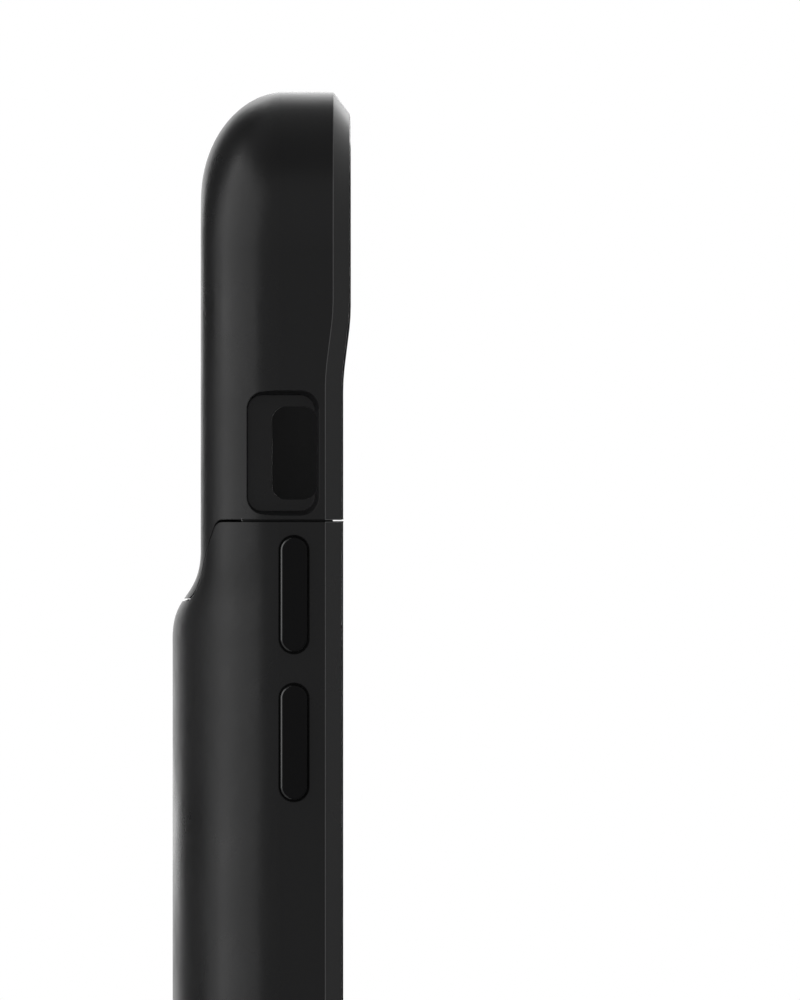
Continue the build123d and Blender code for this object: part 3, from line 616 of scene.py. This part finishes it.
class CHARGING_CASE_OT_connectors(bpy.types.Operator):
    """Finish the charging inlet and the plug, and lay their contacts"""

    bl_idname = "charging_case.connectors"
    bl_label = "Connectors"

    def execute(self, context):
        look = context.scene.case_finish
        sizes = context.scene.case_fittings
        steel = surface(
            "drawn_steel",
            look.steel,
            roughness=0.3,
            grain=0.0001,
            depth=0.000002,
            stretch=(1.0, 1.0, 0.05),
            metallic=1.0,
        )
        black = surface("connector_black", look.black_plastic, roughness=0.5, grain=0.0003, depth=0.000004)
        film = surface("amber_film", look.film, roughness=0.35, grain=0.002, depth=0.000004)
        paint(steel, "charge_port_shell", "phone_plug_shell")
        paint(black, "charge_port_tongue", "phone_plug_core", "phone_plug_boot")
        paint(film, "plug_flex")
        gold = surface(
            "contact_gold",
            look.contact,
            roughness=0.24,
            grain=0.00008,
            depth=0.000001,
            stretch=(1.0, 1.0, 0.1),
            metallic=1.0,
        )
        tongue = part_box("charge_port_tongue")
        inlet_start = tongue[0].z + sizes.tongue_inset
        self.contact_rows(sizes, "inlet_contacts", gold, tongue, sizes.tongue_half, inlet_start)
        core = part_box("phone_plug_core")
        plug_start = core[1].z - sizes.slot_inset - sizes.contact_length
        self.contact_rows(sizes, "plug_contacts", gold, core, sizes.slot_half, plug_start)
        return {"FINISHED"}

    def contact_rows(self, sizes, name, gold, box, half_gap, start):
        """Lays a row of bevelled contacts on both faces of a tongue, or of a slot."""
        middle = (box[0] + box[1]) / 2
        first = middle.x - (sizes.contacts - 1) * sizes.contact_pitch / 2
        bpy.ops.object.select_all(action="DESELECT")
        bpy.ops.mesh.primitive_cube_add(
            size=1.0,
            location=(first, middle.y + half_gap, start + sizes.contact_length / 2),
            scale=(sizes.contact_width, 2 * sizes.contact_proud, sizes.contact_length),
        )
        row = bpy.context.active_object
        row.name = name
        row.data.materials.append(gold)
        settle(row)
        bpy.ops.object.mode_set(mode="EDIT")
        bpy.ops.mesh.bevel(offset=sizes.contact_bevel * sizes.contact_proud, segments=2, affect="EDGES")
        bpy.ops.object.mode_set(mode="OBJECT")
        repeat = row.modifiers.new("row", "ARRAY")
        repeat.count = sizes.contacts
        repeat.use_relative_offset = False
        repeat.use_constant_offset = True
        repeat.constant_offset_displace = (sizes.contact_pitch, 0.0, 0.0)
        bpy.ops.object.modifier_apply(modifier=repeat.name)
        other = copy_piece(row, name + "_other", (0.0, -2 * half_gap, 0.0))
        pick(row)
        other.select_set(True)
        bpy.ops.object.join()
        fit_piece(row, "housing")


class CHARGING_CASE_OT_display(bpy.types.Operator):
    """Finish the status lamps, their light guide and the switch"""

    bl_idname = "charging_case.display"
    bl_label = "Charge display"

    def execute(self, context):
        look = context.scene.case_finish
        frosted = surface("frosted_guide", look.window, roughness=0.45, grain=0.0002, depth=0.000004)
        clear = surface("lamp_lens", look.lens, roughness=0.2, grain=0.001, depth=0.000002)
        black = surface("switch_black", look.black_plastic, roughness=0.45, grain=0.0003, depth=0.000004)
        paint(frosted, "light_guide")
        paint(clear, "status_leds")
        paint(black, "status_switch")
        return {"FINISHED"}


class CHARGING_CASE_OT_battery(bpy.types.Operator):
    """Finish the cell, its pads, its board and its leads"""

    bl_idname = "charging_case.battery"
    bl_label = "Battery"

    def execute(self, context):
        look = context.scene.case_finish
        foil = surface("cell_foil", look.foil, roughness=0.38, grain=0.0008, depth=0.00002, metallic=1.0)
        foam = surface("foam_tape", look.tape, roughness=0.9, grain=0.0003, depth=0.00004, change=0.2)
        nickel = surface(
            "nickel_strip", look.nickel, roughness=0.34, grain=0.0002, depth=0.000003, metallic=1.0
        )
        paint(foil, "battery_cell")
        paint(foam, "adhesive_pads")
        paint(nickel, "cell_leads")
        paint(solder_mask("cell_board_mask", look), "cell_board")
        return {"FINISHED"}


class CHARGING_CASE_OT_board(bpy.types.Operator):
    """Finish the control board and the parts on it"""

    bl_idname = "charging_case.board"
    bl_label = "Control board"

    def execute(self, context):
        look = context.scene.case_finish
        epoxy = surface("chip_epoxy", look.epoxy, roughness=0.55, grain=0.0002, depth=0.000006)
        ferrite = surface("ferrite_core", look.ferrite, roughness=0.6, grain=0.0003, depth=0.00001)
        ceramic = surface("capacitor_ceramic", look.ceramic, roughness=0.45, grain=0.0004, depth=0.000004)
        steel = surface("screw_steel", look.steel, roughness=0.35, grain=0.0002, depth=0.000003, metallic=1.0)
        paint(solder_mask("board_mask", look), "control_board")
        paint(epoxy, "charger_chip")
        paint(ferrite, "boost_inductor")
        paint(ceramic, "board_capacitors")
        paint(steel, "board_screws")
        return {"FINISHED"}


class CHARGING_CASE_OT_stage(bpy.types.Operator):
    """Lay the floor, hang the lamps and cards, and set the camera on the side with two keys"""

    bl_idname = "charging_case.stage"
    bl_label = "Stage"

    def execute(self, context):
        scene = context.scene
        setting = scene.case_stage
        self.lay_floor(setting)
        self.light_room(scene, setting)
        self.hang_lamp("key_lamp", setting.key_lamp, place=(-0.22, 1.03, 0.3), size=(1.3, 1.4))
        for name, watts, place, size in (
            ("fill_lamp", setting.fill_lamp, (-0.45, -1.0, 0.5), (0.8, 1.2)),
            ("side_lamp", setting.side_lamp, (1.0, -0.1, 0.25), (0.8, 1.0)),
        ):
            self.hang_lamp(name, watts, place, size, reflected=False)
        self.hang_flag("side_card", place=(0.98, -0.1, 0.5), size=(0.8, 1.7), level=3.4, top_level=1.0)
        self.hang_flag("back_flag", place=(0.423, 0.367, 0.25), size=(0.386, 1.2), level=0.07)
        self.hang_flag("rim_flag", place=(0.546, 0.124, 0.1), size=(0.182, 0.5), level=1.5)
        self.hang_flag("top_flag", place=(0.05, 0.0, 0.72), size=(1.0, 1.0), level=0.4)
        self.hang_flag("front_flag", place=(0.17, -0.57, 0.25), size=(0.44, 1.2), level=0.75)
        self.hang_flag("far_flag", place=(0.52, -0.3, 0.08), size=(0.46, 0.36), level=0.02)
        self.set_camera(scene, setting)
        scene.view_settings.view_transform = "Standard"
        return {"FINISHED"}

    def lay_floor(self, setting):
        """A square of pale paper that the case stands on."""
        bpy.ops.object.select_all(action="DESELECT")
        bpy.ops.mesh.primitive_plane_add(size=setting.floor_size)
        floor = bpy.context.active_object
        floor.name = "studio_floor"
        paper = surface(
            "floor_paper",
            setting.floor,
            roughness=0.8,
            grain=0.002,
            depth=0.00002,
            change=0.01,
            gloss=0.1,
            broad=0.2,
        )
        floor.data.materials.append(paper)

    def light_room(self, scene, setting):
        """An even room light, which the camera, reflections and clear things see as plain white."""
        world = bpy.data.worlds.new("studio_room")
        world.use_nodes = True
        scene.world = world
        tree = world.node_tree
        room = tree.nodes["Background"]
        room.inputs["Color"].default_value = WHITE
        room.inputs["Strength"].default_value = setting.sky
        white = add_node(tree, "ShaderNodeBackground", Color=WHITE, Strength=1.0)
        path = add_node(tree, "ShaderNodeLightPath")
        seen = path.outputs["Is Camera Ray"]
        for ray in ("Is Glossy Ray", "Is Transmission Ray"):
            either = add_node(tree, "ShaderNodeMath")
            either.operation = "MAXIMUM"
            tree.links.new(seen, either.inputs[0])
            tree.links.new(path.outputs[ray], either.inputs[1])
            seen = either.outputs["Value"]
        mix = add_node(tree, "ShaderNodeMixShader")
        tree.links.new(seen, mix.inputs["Fac"])
        tree.links.new(room.outputs["Background"], mix.inputs[1])
        tree.links.new(white.outputs["Background"], mix.inputs[2])
        tree.links.new(mix.outputs["Shader"], tree.nodes["World Output"].inputs["Surface"])

    def turn_to_case(self, hung, place):
        """Sets a lamp or a card at its place and turns it to the middle of the case."""
        middle = (cad_box[0] + cad_box[1]) / 2
        hung.location = place
        hung.rotation_euler = (middle - Vector(place)).to_track_quat("-Z", "Y").to_euler()

    def hang_lamp(self, name, watts, place, size, reflected=True):
        """A soft lamp, which reflections can be told not to see."""
        lamp = bpy.data.lights.new(name, "AREA")
        lamp.shape = "RECTANGLE"
        lamp.size, lamp.size_y = size
        lamp.energy = watts
        hung = bpy.data.objects.new(name, lamp)
        bpy.context.scene.collection.objects.link(hung)
        hung.visible_glossy = reflected
        self.turn_to_case(hung, place)

    def hang_flag(self, name, place, size, level, top_level=None):
        """A card that only reflections see, as a photographer hangs one beside glossy work."""
        bpy.ops.object.select_all(action="DESELECT")
        bpy.ops.mesh.primitive_plane_add(size=1.0)
        flag = bpy.context.active_object
        flag.name = name
        flag.dimensions = (*size, 0.0)
        self.turn_to_case(flag, place)
        material, tree = new_material(name)
        glow = add_node(tree, "ShaderNodeEmission", Color=WHITE, Strength=level)
        tree.links.new(glow.outputs["Emission"], tree.nodes["Material Output"].inputs["Surface"])
        if top_level is not None:
            self.fade_upwards(tree, glow, level, top_level)
        flag.data.materials.append(material)
        flag.visible_camera = False
        flag.visible_diffuse = False
        flag.visible_shadow = False

    def fade_upwards(self, tree, glow, level, top_level):
        """Changes a card's glow between two heights, as shares of the card's height from its middle."""
        fade_start = -0.1
        fade_end = 0.42
        place = add_node(tree, "ShaderNodeTexCoord")
        height = add_node(tree, "ShaderNodeSeparateXYZ")
        fade = add_node(
            tree,
            "ShaderNodeMapRange",
            From_Min=fade_start,
            From_Max=fade_end,
            To_Min=level,
            To_Max=top_level,
        )
        tree.links.new(place.outputs["Object"], height.inputs["Vector"])
        tree.links.new(height.outputs["Y"], fade.inputs["Value"])
        tree.links.new(fade.outputs["Result"], glow.inputs["Strength"])

    def set_camera(self, scene, setting):
        """A long lens, square to the side with two keys, at the photographed scale."""
        view = bpy.data.cameras.new("side_view")
        view.lens = setting.lens
        # In metres, at the near side: 1000 pixels at so many for each mm
        picture_height = 1.0 / setting.pixels_per_mm
        distance = picture_height * setting.lens / view.sensor_width
        # Well past the far edge of the floor
        view.clip_end = 3.0 * distance
        camera = bpy.data.objects.new("side_view", view)
        scene.collection.objects.link(camera)
        near_side = cad_box[0].x
        camera.location = (near_side - distance, setting.aim_depth, setting.aim_height)
        camera.rotation_euler = (math.radians(90.0), 0.0, math.radians(-90.0))
        scene.camera = camera


STEPS = (
    CHARGING_CASE_OT_shells,
    CHARGING_CASE_OT_keys,
    CHARGING_CASE_OT_button,
    CHARGING_CASE_OT_linings,
    CHARGING_CASE_OT_connectors,
    CHARGING_CASE_OT_display,
    CHARGING_CASE_OT_battery,
    CHARGING_CASE_OT_board,
    CHARGING_CASE_OT_stage,
)


class CHARGING_CASE_PT_sidebar(bpy.types.Panel):
    """Lists the settings and the steps"""

    bl_label = "Charging Case"
    bl_space_type = "VIEW_3D"
    bl_region_type = "UI"
    bl_category = "Charging Case"

    def draw(self, context):
        scene = context.scene
        for settings in (scene.case_finish, scene.case_fittings, scene.case_stage):
            box = self.layout.box()
            for name in settings.__annotations__:
                box.prop(settings, name)
        for step in STEPS:
            self.layout.operator(step.bl_idname)


CLASSES = (CaseFinish, CaseFittings, CaseStage, *STEPS, CHARGING_CASE_PT_sidebar)


def register():
    for item in CLASSES:
        bpy.utils.register_class(item)
    bpy.types.Scene.case_finish = PointerProperty(type=CaseFinish)
    bpy.types.Scene.case_fittings = PointerProperty(type=CaseFittings)
    bpy.types.Scene.case_stage = PointerProperty(type=CaseStage)


def unregister():
    del bpy.types.Scene.case_stage
    del bpy.types.Scene.case_fittings
    del bpy.types.Scene.case_finish
    for item in reversed(CLASSES):
        bpy.utils.unregister_class(item)


def main():
    """Dresses the case step by step."""
    register()
    bpy.ops.charging_case.shells()
    bpy.ops.charging_case.keys()
    bpy.ops.charging_case.button()
    bpy.ops.charging_case.linings()
    bpy.ops.charging_case.connectors()
    bpy.ops.charging_case.display()
    bpy.ops.charging_case.battery()
    bpy.ops.charging_case.board()
    bpy.ops.charging_case.stage()


if __name__ == "__main__":
    main()
